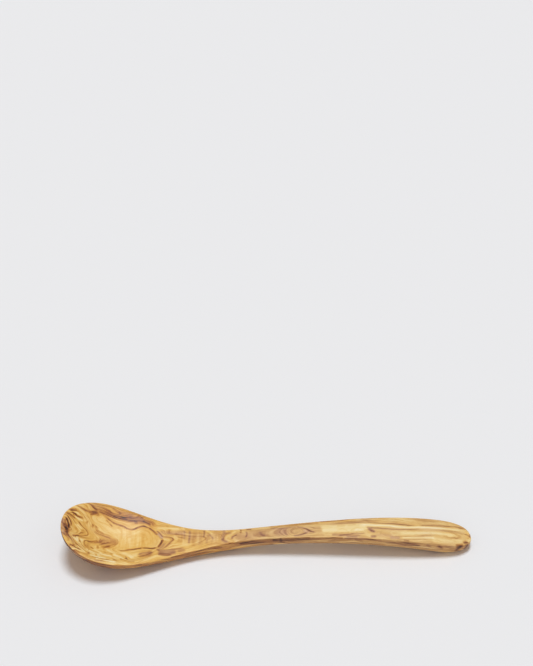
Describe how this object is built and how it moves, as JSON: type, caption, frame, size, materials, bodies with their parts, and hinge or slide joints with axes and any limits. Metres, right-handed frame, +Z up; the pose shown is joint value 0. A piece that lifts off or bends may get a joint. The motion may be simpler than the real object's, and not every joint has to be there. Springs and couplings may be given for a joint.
{
  "type": "cooking spoon",
  "caption": "One-piece carved olive wood cooking spoon with a shallow egg-shaped bowl, a slim neck and an arched handle that widens to a rounded end.",
  "frame": {"origin": "on the table, under the middle of the spoon's length and width", "axes": "+X from the tip of the bowl to the end of the handle, +Y across the spoon, +Z up from the table that it lies on"},
  "size_m": [0.3, 0.061, 0.0296],
  "materials": {
    "olive_wood": "sanded and oiled, low satin gloss"
  },
  "bodies": {
    "root": {"carved_spoon": "olive_wood"}
  },
  "joints": []
}
